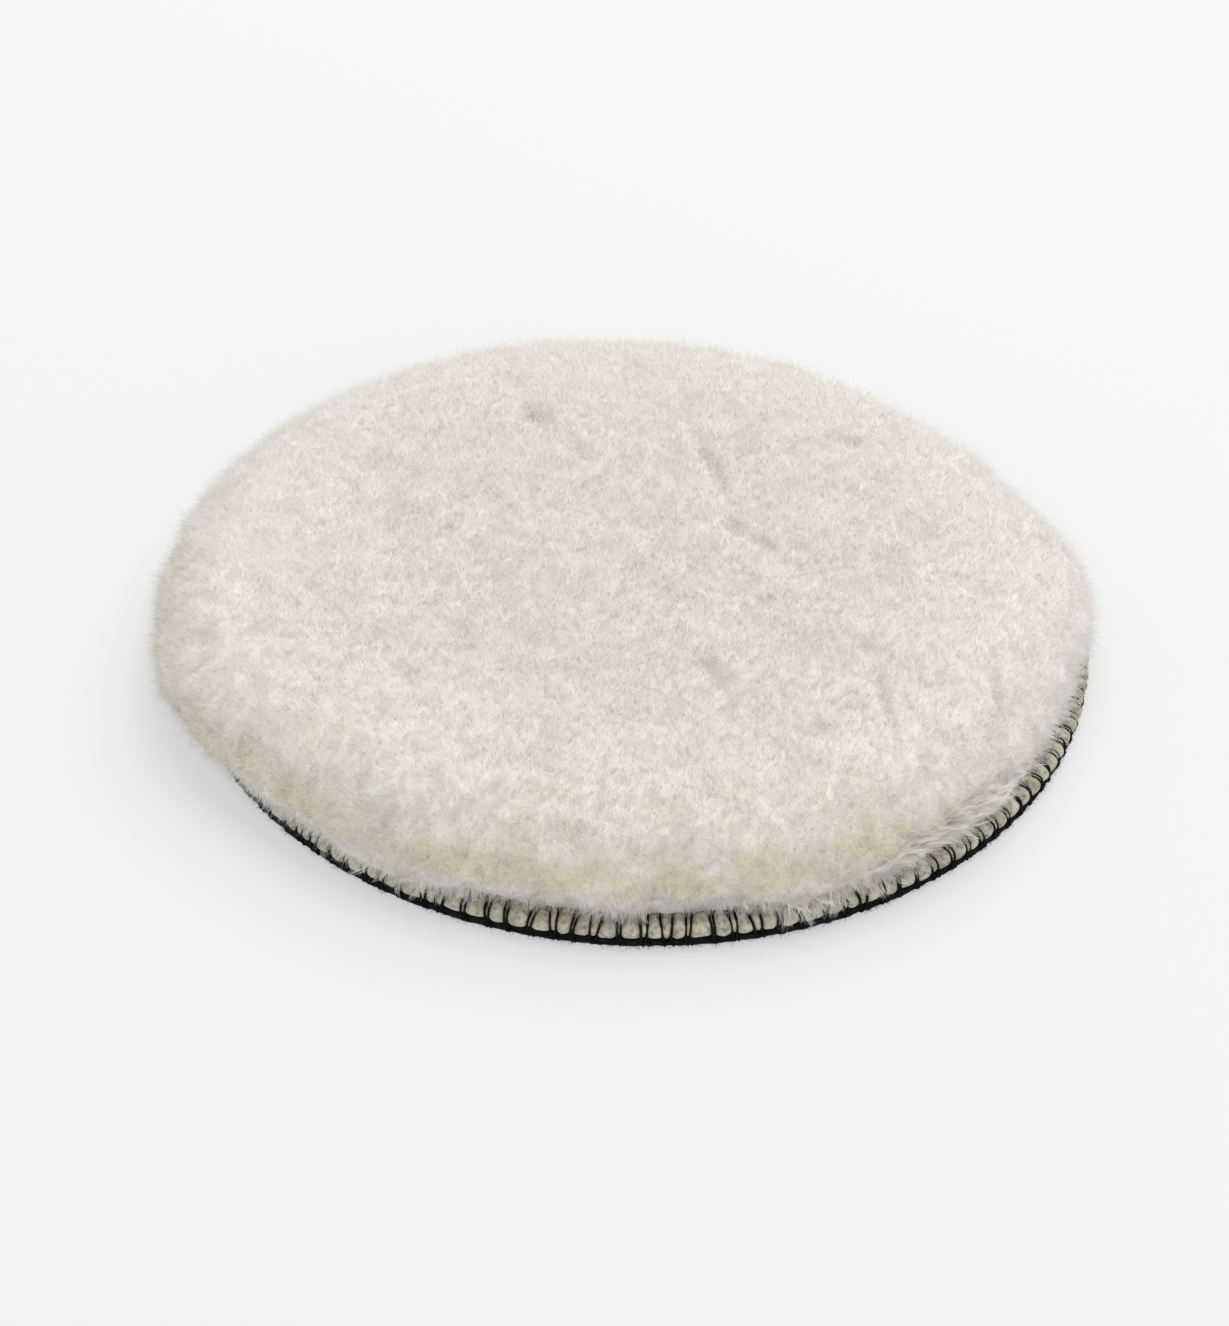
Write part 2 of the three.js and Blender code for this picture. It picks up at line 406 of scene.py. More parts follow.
class Nodes:
    """A material's node tree, with short ways to add and link its nodes."""

    def __init__(self, name, roughness, **constants):
        self.material = bpy.data.materials.new(name)
        self.material.use_nodes = True
        self.tree = self.material.node_tree
        self.shader = self.tree.nodes["Principled BSDF"]
        self.shader.inputs["Roughness"].default_value = roughness
        for socket, value in constants.items():
            self.shader.inputs[socket.replace("_", " ")].default_value = value
        self.place = self.add("ShaderNodeTexCoord").outputs["Object"]

    def add(self, kind, links=(), **settings):
        node = self.tree.nodes.new(kind)
        for key, value in settings.items():
            setattr(node, key, value)
        for socket, source in dict(links).items():
            self.set(node.inputs[socket], source)
        return node

    def set(self, socket, source):
        if isinstance(source, bpy.types.NodeSocket):
            self.tree.links.new(source, socket)
        else:
            socket.default_value = source

    def noise(self, size, detail=2.0, roughness=0.5):
        """Noise whose features are about size across."""
        links = {"Vector": self.place, "Scale": 1 / size, "Detail": detail, "Roughness": roughness}
        return self.add("ShaderNodeTexNoise", links).outputs["Fac"]

    def ramp(self, value, low, high):
        """value mapped from low..high to 0..1."""
        links = {"Value": value, "From Min": low, "From Max": high}
        return self.add("ShaderNodeMapRange", links).outputs["Result"]

    def along(self, axis):
        """The position along X, Y or Z."""
        return self.add("ShaderNodeSeparateXYZ", {"Vector": self.place}).outputs[axis]

    def distance(self):
        """The distance from the origin."""
        node = self.add("ShaderNodeVectorMath", {0: self.place}, operation="LENGTH")
        return node.outputs["Value"]

    def attribute(self, name):
        return self.add("ShaderNodeAttribute", attribute_name=name).outputs["Fac"]

    def product(self, first, second):
        links = {0: first, 1: second}
        return self.add("ShaderNodeMath", links, operation="MULTIPLY").outputs["Value"]

    def mix(self, factor, first, second):
        """A blend of two colours, each a tuple or another node's socket."""
        node = self.add("ShaderNodeMix", data_type="RGBA")
        sockets = {socket.identifier: socket for socket in node.inputs}
        self.set(sockets["Factor_Float"], factor)
        for key, source in (("A_Color", first), ("B_Color", second)):
            self.set(sockets[key], (*source, 1) if isinstance(source, tuple) else source)
        return next(s for s in node.outputs if s.identifier == "Result_Color")

    def finish(self, colour, height=None, depth=0.1 * MM):
        self.set(self.shader.inputs["Base Color"], colour)
        if height is not None:
            bump = self.add("ShaderNodeBump", {"Height": height, "Distance": depth})
            self.set(self.shader.inputs["Normal"], bump.outputs["Normal"])
        return self.material


def wool_material(name, fibre):
    """Undyed wool: cream with blushing patches, beige between its tufts, and pale again at its
    foot.
    Painted shade makes its middle darker and greyer and turns the lower front and left of its side
    a darker beige; painted light makes its right side paler and pinker."""
    nodes = Nodes(name, 0.9, Specular_IOR_Level=0.12, **WOOL_SCATTER)
    patches = nodes.ramp(nodes.noise(9 * MM, 2), 0.44, 0.58)
    colour = nodes.mix(patches, CREAM, BLUSH)
    # Painted shade: darker and greyer towards the middle of the top
    centre_shade = nodes.ramp(nodes.distance(), 70 * MM, 42 * MM)
    colour = nodes.mix(centre_shade, colour, CENTRE_SHADE_WOOL)
    valleys = nodes.ramp(nodes.noise(3.4 * MM, 3, 0.6), 0.50, 0.80)
    colour = nodes.mix(valleys, colour, BEIGE)
    # Painted shade: a darker beige in patches, low on the side at the front and the left
    beige = nodes.ramp(nodes.noise(5 * MM, 2), 0.30, 0.60)
    side = nodes.ramp(nodes.along("Z"), WOOL_HIGH - 4 * MM, WOOL_HIGH - 8 * MM)
    side = nodes.product(side, nodes.ramp(nodes.along("X"), 64 * MM, 40 * MM))
    front = nodes.ramp(nodes.along("Y"), 25 * MM, -10 * MM)
    side = nodes.product(side, front)
    colour = nodes.mix(nodes.product(side, beige), colour, LOW_SHADE_BEIGE)
    foot = nodes.ramp(nodes.along("Z"), HIDE_HIGH + 4.5 * MM, HIDE_HIGH + 2.5 * MM)
    colour = nodes.mix(nodes.product(foot, front), colour, FOOT_WOOL)
    # Painted light: paler and pinker on the right side
    right = nodes.ramp(nodes.along("X"), 42 * MM, 68 * MM)
    colour = nodes.mix(right, colour, BLUSH)
    if not fibre:
        return nodes.finish(colour, nodes.noise(0.35 * MM, 3, 0.7), 0.25 * MM)
    # Each hair is beige at its root and the wool's colour at its tip: painted shade deep in the
    # pile
    colour = nodes.mix(nodes.ramp(nodes.attribute("tip"), 0.0, 0.9), BEIGE, colour)
    # More of the shaded colour in hollows and between tufts is painted shade; per tuft and per hair
    # it differs at random
    return nodes.finish(nodes.mix(nodes.attribute("tone"), colour, SHADED_WOOL))


def hide_material():
    """Undyed sheepskin: cream grey, with darker folds, stains and fine pores."""
    nodes = Nodes("sheepskin_hide", 0.75, Specular_IOR_Level=0.25)
    patches = nodes.ramp(nodes.noise(1.6 * MM, 4, 0.6), 0.38, 0.68)
    colour = nodes.mix(patches, HIDE_PALE, HIDE_DARK)
    stains = nodes.ramp(nodes.noise(0.8 * MM, 4, 0.7), 0.52, 0.66)
    colour = nodes.mix(stains, colour, HIDE_STAIN)
    soiled = nodes.ramp(nodes.along("Z"), HIDE_LOW + 0.9 * MM, HIDE_LOW)
    specks = nodes.ramp(nodes.noise(0.5 * MM, 3, 0.7), 0.35, 0.65)
    colour = nodes.mix(nodes.product(soiled, specks), colour, HIDE_STAIN)
    return nodes.finish(colour, nodes.noise(0.25 * MM, 4, 0.7), 0.12 * MM)


def black_material(name, tone, grain, roughness):
    """Black textile: an uneven near-black with a fibrous bump."""
    nodes = Nodes(name, roughness, Specular_IOR_Level=0.15)
    uneven = nodes.ramp(nodes.noise(grain * 4, 3), 0.35, 0.7)
    dark = tuple(0.45 * part for part in tone)
    return nodes.finish(nodes.mix(uneven, dark, tone), nodes.noise(grain, 2, 0.6), 0.08 * MM)


def adhesive_material():
    nodes = Nodes("dried_adhesive", 0.45)
    streaks = nodes.ramp(nodes.noise(5 * MM, 4), 0.35, 0.65)
    colour = nodes.mix(streaks, GLUE_PALE, GLUE_DARK)
    return nodes.finish(colour, nodes.noise(1.2 * MM, 3), 0.05 * MM)


def floor_material():
    """A pale table that glows a little, as a lit studio table does."""
    nodes = Nodes("pale_floor", 0.9, Emission_Color=(1, 1, 1, 1), Emission_Strength=TABLE_GLOW)
    return nodes.finish(nodes.mix(nodes.noise(0.4, 2), (0.32, 0.32, 0.32), (0.33, 0.33, 0.33)))


# --- The fleece's body ---


def outline(azimuth):
    """The bulge's reach beyond the rim and its level above the hide, smoothed along the rim."""
    at, reach, level = np.array(WOOL_OUTLINE).T
    near = np.degrees(azimuth) + np.linspace(-6, 6, 7).reshape(-1, *[1] * azimuth.ndim)
    return [np.interp(near, at, column, period=360).mean(0) * MM for column in (reach, level)]


def droop(azimuth):
    """From 0 to 1, how low the wool hangs over the stitches."""
    return np.clip(sum(lobe(azimuth, at, width) for at, width in WOOL_DROOPS), 0, 1)


def foot_shift(azimuth):
    """How unevenly the foot of the wool follows the seam."""
    around = polar(RIM, azimuth, 0.0).reshape(-1, 3)
    uneven = 0.55 * noise(around, 5 * MM, SEED + 8) + 0.45 * noise(around, 2 * MM, SEED + 9)
    return uneven.reshape(azimuth.shape) * MM


def dent(points):
    """How deep the wool is parted or dimpled at each point."""
    depth = np.zeros(len(points))
    for start, end, half_width, deep in WOOL_DENTS:
        start, end = np.array(start) * MM, np.array(end) * MM
        along = end - start
        share = np.clip((points[:, :2] - start) @ along / (along @ along), 0, 1)
        away = np.linalg.norm(points[:, :2] - start - share[:, None] * along, axis=1)
        depth = np.maximum(depth, deep * MM * np.exp(-((away / (half_width * MM)) ** 2)))
    return depth


def fleece_profile(share, azimuth):
    """The smooth body's radius and height, from the centre of its top (0) to its foot (1)."""
    reach, level = outline(azimuth)
    outer = RIM + reach - WOOL_RISE
    level = HIDE_HIGH + level
    shoulder = WOOL_SHOULDER + np.maximum(-WOOL_SET_BACK - reach, 0)
    flat = outer - shoulder
    top = WOOL_HIGH - WOOL_RISE - WOOL_CROWN
    crown_end, shoulder_end = 0.66, 0.88
    on_crown = np.clip(share / crown_end, 0, 1)
    on_shoulder = np.clip((share - crown_end) / (shoulder_end - crown_end), 0, 1)
    on_underside = np.clip((share - shoulder_end) / (1 - shoulder_end), 0, 1)
    turn = on_shoulder * math.pi / 2
    radius = flat * on_crown + shoulder * np.sin(turn)
    height = level + (top - level) * np.cos(turn)
    height += WOOL_CROWN * (1 - on_crown**2) * (share <= crown_end)
    turn = on_underside * math.pi / 2
    hollow = 2.1 - 1.5 * droop(azimuth)  # 2 is a straight underside and 1 a round one
    foot = WOOL_FOOT + foot_shift(azimuth)
    radius -= (outer - foot) * (1 - np.cos(turn) ** hollow) * (share > shoulder_end)
    height -= (level - HIDE_HIGH) * np.sin(turn) ** hollow
    return radius, height


def square_to_disc(grid):
    """Even points on a disc from a square grid of that many cells a side: radius and azimuth."""
    line = np.linspace(-1, 1, grid + 1)
    across, along = np.meshgrid(line, line, indexing="ij")
    radius = np.maximum(np.abs(across), np.abs(along))
    safe = np.where(radius == 0, 1, radius)
    eighth = math.pi / 4
    sideways = eighth * along / safe * np.sign(across) + np.where(across < 0, math.pi, 0)
    endways = 2 * eighth - eighth * across / safe * np.sign(along)
    endways += np.where(along < 0, math.pi, 0)
    return radius, np.where(np.abs(across) >= np.abs(along), sideways, endways)


def tufts(points):
    """The centre of each point's tuft, from one jittered centre in each cell of the tuft size."""
    cell = np.floor(points / TUFT_SIZE).astype(np.int64)
    nearest = np.full(len(points), np.inf)
    found = np.zeros_like(points)
    for corner in np.ndindex(3, 3, 3):
        here = cell + np.array(corner) - 1
        jitter = np.stack([hashed(here, SEED + 30 + axis) for axis in range(3)], axis=-1)
        centre = (here + jitter) * TUFT_SIZE
        away = np.linalg.norm(points - centre, axis=1)
        closer = away < nearest
        nearest[closer] = away[closer]
        found[closer] = centre[closer]
    return found, nearest


def tuft_random(centres, seed):
    """A repeatable random number from -1 to 1 for each tuft."""
    return 2 * hashed(np.floor(centres / TUFT_SIZE).astype(np.int64), seed) - 1


def fleece_surface():
    """The body's grid of points and outward normals, with its tufts, creases and dimples."""
    share, azimuth = square_to_disc(BODY_GRID)
    radius, height = fleece_profile(share, azimuth)
    points = polar(radius, azimuth, height)
    normals = grid_normals(points)
    flat = points.reshape(-1, 3)
    relief = np.zeros(len(flat))
    for number, (size, depth) in enumerate(WOOL_RELIEF):
        relief += depth * noise(flat, size * MM, SEED + number)
    centres, away = tufts(flat)
    relief += 0.10 * (1 - (away / TUFT_SIZE) ** 2) + 0.03 * tuft_random(centres, SEED + 3)
    relief += 0.50 * noise(flat, 3 * MM, SEED + 4) * ramp(share.ravel(), 0.66, 0.8)
    fade = np.clip((1 - share.ravel()) / 0.06, 0, 1)
    shift = (relief * MM - dent(flat)) * fade
    points = points + normals * shift.reshape(points.shape[:2])[..., None]
    return points, grid_normals(points)


def rim_of_grid(side):
    """The indices round the edge of a square grid of side by side points, in order."""
    index = np.arange(side * side).reshape(side, side)
    return np.concatenate([index[:-1, 0], index[-1, :-1], index[:0:-1, -1], index[0, :0:-1]])


def fleece_body(points, material):
    """The closed body: the displaced surface, and a flat base where it meets the hide."""
    side = BODY_GRID + 1
    edge = rim_of_grid(side)
    flat = np.concatenate([points.reshape(-1, 3), [[0, 0, HIDE_HIGH]]])
    base = fan(edge, side * side)[:, ::-1]
    faces = np.concatenate([triangles_of(grid_faces(side, side)), base])
    share, azimuth = square_to_disc(BODY_GRID)
    layout = polar(share, azimuth, 0)[..., :2].reshape(-1, 2)
    layout = np.concatenate([layout, [[0, 0]]]) * 0.49 + 0.5
    body = new_mesh("fleece_body", flat, faces, material, uv=layout)
    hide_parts("fleece_pile")


# --- The fleece's fibres ---


def scatter(points, normals, count, rng, weight=1.0):
    """Points and normals spread evenly over a grid surface, or by each cell's weight."""
    near, below = points[:-1, :-1], points[1:, :-1]
    far, beside = points[1:, 1:], points[:-1, 1:]
    area = np.linalg.norm(np.cross(far - near, beside - below), axis=-1).ravel() * weight
    cell = rng.choice(len(area), count, p=area / area.sum())
    row, column = np.divmod(cell, points.shape[1] - 1)
    down, across = rng.random((2, count, 1))

    def blend(grid):
        left = grid[row, column] * (1 - down) + grid[row + 1, column] * down
        right = grid[row, column + 1] * (1 - down) + grid[row + 1, column + 1] * down
        return left * (1 - across) + right * across

    return blend(points), unit(blend(normals))


def lay(points, normals):
    """The way the wool leans at each point, in the surface."""
    drift = np.radians(-125) + 1.4 * noise(points, 16 * MM, SEED + 20)
    drift += 0.9 * noise(points, 5 * MM, SEED + 21)
    lean = np.stack([np.cos(drift), np.sin(drift), np.full(len(points), -0.2)], axis=-1)
    lean -= normals * (lean * normals).sum(1, keepdims=True)
    return unit(lean)


def height_above_hide(points):
    return points[:, 2] - HIDE_HIGH


def pile_lean(points, normals):
    """Which way and how far the pile leans at each point: with its region and with its tuft."""
    centre, _ = tufts(points)
    own = np.stack([tuft_random(centre, SEED + 24 + axis) for axis in range(3)], axis=-1)
    return 0.25 * lay(points, normals) + 0.19 * own


def pile_lengths(roots, rng):
    """The length of each hair, which the shears left shorter at the foot of the wool."""
    short = 0.75 + 0.25 * ramp(height_above_hide(roots), 0.5 * MM, 3 * MM)
    uneven = np.minimum(0.55 + 0.4 * rng.exponential(size=len(roots)), 2.0)
    return (PILE_LENGTH * short * uneven)[:, None]


def straight_paths(roots, normals, rng):
    """Straight hairs of the dense pile."""
    start = roots - normals * PILE_ROOT
    heading = normals + pile_lean(roots, normals) + rng.normal(0, 0.44, roots.shape)
    return np.stack([start, start + unit(heading) * pile_lengths(roots, rng)], axis=1)


def curled_paths(roots, normals, rng):
    """Hairs whose ends bend over, with the crimp of wool."""
    start = roots - normals * PILE_ROOT
    length = pile_lengths(roots, rng)
    lean = pile_lean(roots, normals)
    rise = unit(normals + lean + rng.normal(0, 0.25, roots.shape))
    aside = unit(np.cross(normals, rng.normal(size=roots.shape)))
    middle = start + rise * length * 0.62
    tip = middle + (0.28 * normals + 0.25 * lean + 0.45 * aside) * length
    return np.stack([start, middle, tip], axis=1)


def pile_shade_and_tone(roots, rng):
    """How much painted shade each hair takes: by the hollow or tuft that it stands in, and at
    random by itself.
    """
    centre, away = tufts(roots)
    tone = 0.24 - 0.30 * noise(roots, 4.5 * MM, SEED + 1) - 0.12 * noise(roots, 2.2 * MM, SEED + 2)
    tone += 0.07 * tuft_random(centre, SEED + 27) + 0.12 * (away / TUFT_SIZE - 0.4)
    return np.clip(tone + rng.normal(0, 0.05, len(roots)), 0, 1)


def sectors(roots, count):
    """Which roots stand in each of count sectors of the pad."""
    sector = np.floor(azimuth_of(roots) / TURN * count).astype(int)
    return [sector == number for number in range(count)]


def fleece_pile(surface, material, rng):
    """The dense sheared pile, in pieces for each sector of the pad."""
    for kind, count, thickness, make_paths in (
        ("straight", STRAIGHT_HAIRS, STRAIGHT_THICKNESS, straight_paths),
        ("curled", CURLED_HAIRS, CURLED_THICKNESS, curled_paths),
    ):
        roots, up = scatter(*surface, count, rng)
        keep = height_above_hide(roots) > 0.5 * MM
        roots, up = roots[keep], up[keep]
        paths = make_paths(roots, up, rng)
        tone = pile_shade_and_tone(roots, rng)
        widths = thickness * rng.uniform(0.7, 1.2, len(paths))
        for number, here in enumerate(sectors(roots, PILE_SECTORS), 1):
            name = f"fleece_{kind}_{number:02d}"
            hairs(name, paths[here], widths[here], material, tone[here])


def curved_paths(roots, headings, lengths, bend, points, rng):
    """Loose hairs that start along their headings and wander off by bend."""
    steps = np.linspace(0, 1, points)[None, :, None]
    sideways = unit(np.cross(headings, rng.normal(size=headings.shape)))
    other = np.cross(headings, sideways)
    phase = rng.uniform(0, TURN, (len(roots), 1, 1))
    wave = np.sin(steps * math.pi * 1.3 + phase) - np.sin(phase)
    line = headings[:, None] * steps
    line = line + bend * (sideways[:, None] * steps**2 + 0.35 * other[:, None] * wave)
    return roots[:, None] + line * lengths[:, None, None]


def fleece_fringe(surface, material, rng):
    """Fine longer hairs that stand out from the pile and soften its outline."""
    share, _ = square_to_disc(BODY_GRID)
    weight = 0.35 + 1.6 * ramp(share[:-1, :-1].ravel(), 0.66, 0.82)
    roots, up = scatter(*surface, FRINGE_HAIRS, rng, weight)
    keep = height_above_hide(roots) > 1.0 * MM
    roots, up = roots[keep], up[keep]
    heading = unit(up + 0.5 * lay(roots, up) + rng.normal(0, 0.35, roots.shape))
    lengths = np.minimum(rng.gamma(6.0, 0.36 * MM, len(roots)), 4.5 * MM)
    lengths *= 0.4 + 0.6 * ramp(height_above_hide(roots), 0.5 * MM, 4 * MM)
    paths = curved_paths(roots, heading, lengths, 0.5, 4, rng)
    thickness = rng.uniform(0.03, 0.06, len(roots)) * MM
    for number, here in enumerate(sectors(roots, FRINGE_SECTORS), 1):
        hairs(f"fleece_fringe_{number}", paths[here], thickness[here], material)


def cell_middles(points):
    """The middle of each cell of a grid surface."""
    return ((points[:-1, :-1] + points[1:, 1:]) / 2).reshape(-1, 3)


def over_the_rim(paths):
    """The paths, lifted where they would run into the hide's stitched edge."""
    radius = np.linalg.norm(paths[..., :2], axis=-1)
    level = HIDE_HIGH + 0.45 * MM - 2.6 * MM * ramp(radius, RIM - 0.7 * MM, RIM + 0.6 * MM)
    paths[..., 2] = np.maximum(paths[..., 2], level)
    return paths


def loose_hairs(name, surface, weight, material, rng, *, count, heading, stray, length, thickness):
    """Long hairs in pointed bunches, rooted in the body where weight says."""
    roots, up = scatter(*surface, count // BUNCH, rng, weight)
    upright, sideways, turn, rise = heading
    heading = upright * up + polar(sideways, azimuth_of(roots) + turn, rise)
    heading = unit(heading + rng.normal(0, stray, roots.shape))
    lengths = rng.uniform(*length, len(roots)) * MM
    paths = np.repeat(curved_paths(roots, heading, lengths, 0.35, 5, rng), BUNCH, axis=0)
    apart = np.linspace(0.40, 0.16, 5)[None, :, None] * MM
    paths = over_the_rim(paths + apart * rng.normal(size=(len(paths), 1, 3)))
    hairs(name, paths, rng.uniform(*thickness, len(paths)) * MM, material)


def foot_band(middles, low, high):
    """From 0 to 1: on the wool's side, between two heights above the hide."""
    height = height_above_hide(middles)
    return ramp(height, low, low + 0.4 * MM) * (1 - ramp(height, high, high + 1.2 * MM))


def rim_tufts(surface, material, rng):
    """Loose hairs round the foot of the wool, in uneven bunches that hang over the seam."""
    middles = cell_middles(surface[0])
    bunched = ramp(noise(middles, 2.6 * MM, SEED + 80), -0.3, 0.6)
    weight = foot_band(middles, 0.3 * MM, 1.6 * MM) * bunched
    loose_hairs("fleece_rim_tufts", surface, weight, material, rng, **RIM_HAIRS)


def fleece_wisps(surface, material, rng):
    """Long loose wisps that veil the stitches and the black edge in a few places."""
    middles = cell_middles(surface[0])
    azimuth = azimuth_of(middles)
    weight = sum(share * lobe(azimuth, at, width) for at, width, share in WOOL_WISPS)
    weight = weight * foot_band(middles, 0.3 * MM, 2.4 * MM)
    loose_hairs("fleece_wisps", surface, weight, material, rng, **WISP_HAIRS)


def combed_lock(surface, material, rng):
    """A lock of long pale hairs low on the wool, combed along the rim."""
    middles = cell_middles(surface[0])
    weight = lobe(azimuth_of(middles), *COMBED_LOCK) * foot_band(middles, 1.8 * MM, 4.5 * MM)
    loose_hairs("fleece_combed_lock", surface, weight, material, rng, **LOCK_HAIRS)


# --- The stitched edge of the hide ---


def strand_azimuth(stitch, side, reach):
    """Where one strand of a stitch's pair lies, from the seam (reach 0) to the rim's edge (1)."""
    spread = SEAM_SPREAD + (EDGE_SPREAD - SEAM_SPREAD) * reach
    spread = spread * (1 + 0.65 * stitch_random(stitch, 40))
    shift = 0.11 * stitch_random(stitch, 41) + 0.32 * stitch_random(stitch, 42) * (reach - 0.5)
    return (stitch + 0.5 + shift + side * spread) * PITCH


def strand_distance(azimuth, reach):
    """The distance along the rim from each place to the nearest strand."""
    stitch = np.floor(azimuth / PITCH)
    nearest = np.full(azimuth.shape, np.inf)
    for neighbour in (-1, 0, 1):
        for side in (-1, 1):
            away = azimuth - strand_azimuth(stitch + neighbour, side, reach)
            nearest = np.minimum(nearest, np.abs(away) * RIM)
    return nearest


def hide_edge(length):
    """The hide's section along its bare strip and round edge: radius, height and the normal."""
    angle = np.clip((length - BARE_STRIP) / HIDE_EDGE, 0, math.pi)
    radius = RIM - HIDE_EDGE - BARE_STRIP + np.minimum(length, BARE_STRIP)
    radius = radius + HIDE_EDGE * np.sin(angle)
    height = (HIDE_HIGH + HIDE_LOW) / 2 + HIDE_EDGE * np.cos(angle)
    return radius, height, np.sin(angle), np.cos(angle)


def slack(length):
    """From 0 to 1, how free the hide is to puff: not under the wool, and less below the edge."""
    return ramp(length, 0, 1.0 * MM) * (1 - 0.75 * ramp(length, 0.6 * EDGE_LENGTH, EDGE_LENGTH))


def hide_shift(azimuth, length, points):
    """How far the hide stands off its plain section: pillows, pinches, wrinkles."""
    away = strand_distance(azimuth, length / EDGE_LENGTH)
    pillow = HIDE_PUFF * (1 + 0.5 * noise(points, 2.6 * MM, SEED + 50)).reshape(away.shape)
    shift = pillow * (1 - np.exp(-((away / (0.55 * MM)) ** 2)))
    shift -= HIDE_PINCH * np.exp(-((away / (0.24 * MM)) ** 2))
    wrinkle = 0.15 * noise(points, 1.1 * MM, SEED + 51) + 0.08 * noise(points, 0.45 * MM, SEED + 52)
    return slack(length) * (shift + wrinkle.reshape(away.shape) * MM)


def hide(material):
    """The sheepskin disc, whose stitched edge is puffed into pillows between the strands."""
    azimuth = np.arange(HIDE_COLUMNS) * TURN / HIDE_COLUMNS
    length = np.linspace(0, EDGE_LENGTH, HIDE_ROWS)[:, None]
    radius, height, outward, upward = hide_edge(length)
    azimuth, length = np.broadcast_arrays(azimuth[None], length)
    plain = polar(radius, azimuth, height)
    shift = hide_shift(azimuth, length, plain.reshape(-1, 3))
    edge = plain + polar(outward * shift, azimuth, upward * shift)
    ragged = 0.12 * (1 + noise(edge.reshape(-1, 3), 0.8 * MM, SEED + 53)).reshape(shift.shape)
    edge[..., 2] = np.maximum(edge[..., 2], BACKING_HIGH + (0.05 + ragged) * MM)
    top = polar(np.array([[0.5 * RIM], [0.9 * RIM]]), azimuth[:1], HIDE_HIGH)
    bottom = polar(np.array([[0.9 * RIM], [0.5 * RIM]]), azimuth[:1], HIDE_LOW)
    rings = np.concatenate([top, edge, bottom])
    disc = turned_disc("hide_disc_skin", rings, HIDE_HIGH, HIDE_LOW, material)
    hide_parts("hide_disc")


# --- The threads ---


def even_steps(path, step):
    """The path again, with its points a step apart."""
    along = travelled(path)
    places = np.linspace(0, along[-1], int(along[-1] / step) + 1)
    return np.stack([np.interp(places, along, path[:, axis]) for axis in range(3)], axis=-1)


def rounded(path, passes):
    """The path with its corners cut, so that the thread bends instead of breaking."""
    for _ in range(passes):
        quarter = path[:-1] * 0.75 + path[1:] * 0.25
        three = path[:-1] * 0.25 + path[1:] * 0.75
        middle = np.stack([quarter, three], axis=1).reshape(-1, 3)
        path = np.concatenate([path[:1], middle, path[-1:]])
    return path


def looper_path(strand):
    """A looper thread's path: for each stitch out along one strand and back along the other."""
    path = []
    for stitch in range(STITCHES):
        path.append(strand(stitch, -1))
        path.append(strand(stitch, 1)[::-1])
    return even_steps(rounded(np.concatenate(path), 2), THREAD_STEP)


def upper_strand(stitch, side):
    """One strand on the hide, from its needle hole to where it turns back at the rim's edge."""
    length = np.linspace(0.5 * MM, BARE_STRIP + 0.5 * math.pi * HIDE_EDGE, 10)
    radius, height, outward, upward = hide_edge(length)
    lift = THREAD_RADIUS * 0.9 - HIDE_PINCH * slack(length)
    azimuth = strand_azimuth(np.full(10, stitch), side, length / EDGE_LENGTH)
    on_hide = polar(radius + outward * lift, azimuth, height + upward * lift)
    below = np.array([0.7, 0.95])
    radius = RIM + np.array([0.12, 0.2]) * MM
    height = np.array([HIDE_LOW + 0.3 * MM, BACKING_HIGH - 0.2 * MM])
    at_edge = polar(radius, strand_azimuth(np.full(2, stitch), side * 0.8, below), height)
    hole = on_hide[:1] - (0, 0, 0.5 * MM)
    return np.concatenate([hole, on_hide, at_edge])


def lower_strand(stitch, side):
    """One strand under the backing, from its hole to where it turns back at the rim's edge."""
    radius = RIM + np.array([-3.2, -3.1, -1.6, -0.2, 0.2, 0.24]) * MM
    height = BACKING_LOW + np.array([0.3, -0.3, -0.5, -0.55, -0.2, 0.25]) * MM
    reach = np.linspace(0, 1, 6)
    return polar(radius, strand_azimuth(np.full(6, stitch + 0.12), side, reach), height)


def needle_path():
    """The needle thread: a short run on the hide between holes, a dip at each."""
    path = []
    for stitch in range(STITCHES):
        sway = 0.12 * MM * stitch_random(stitch, 45)
        azimuth = (stitch + 0.5 + np.array([-0.12, 0.0, 0.12, 0.35, 0.65])) * PITCH
        height = HIDE_HIGH + np.array([0.1, -0.35, 0.1, 0.22, 0.22]) * MM
        path.append(polar(NEEDLE_RADIUS + 0.35 * MM + sway, azimuth, height))
    return even_steps(rounded(np.concatenate(path), 2), THREAD_STEP)


def thread_fuzz(path, material, rng):
    """Fine filaments that stand off the textured threads, denser in knots at the wool's foot."""
    along = rng.integers(0, len(path) - 1, THREAD_FILAMENTS)
    heading = unit(rng.normal(size=(THREAD_FILAMENTS, 3)))
    lengths = np.minimum(rng.gamma(4.0, 0.12 * MM, THREAD_FILAMENTS), 1.2 * MM)
    loose = curved_paths(path[along], heading, lengths, 0.8, 4, rng)
    knots = []
    for stitch in range(STITCHES):
        for side in (-1, 1):
            many = rng.integers(4, 26)
            azimuth = strand_azimuth(np.full(many, stitch), side, 0.0)
            place = polar(NEEDLE_RADIUS + rng.normal(0.5, 0.35, many) * MM, azimuth, HIDE_HIGH)
            knots.append(place + rng.normal(0, 0.14, (many, 3)) * MM + (0, 0, 0.3 * MM))
    knots = np.concatenate(knots)
    heading = unit(rng.normal(size=knots.shape) + (0, 0, 0.3))
    tangled = curved_paths(knots, heading, rng.uniform(0.3, 0.9, len(knots)) * MM, 1.0, 4, rng)
    paths = np.concatenate([loose, tangled])
    hairs("thread_fuzz", paths, rng.uniform(0.03, 0.08, len(paths)) * MM, material)


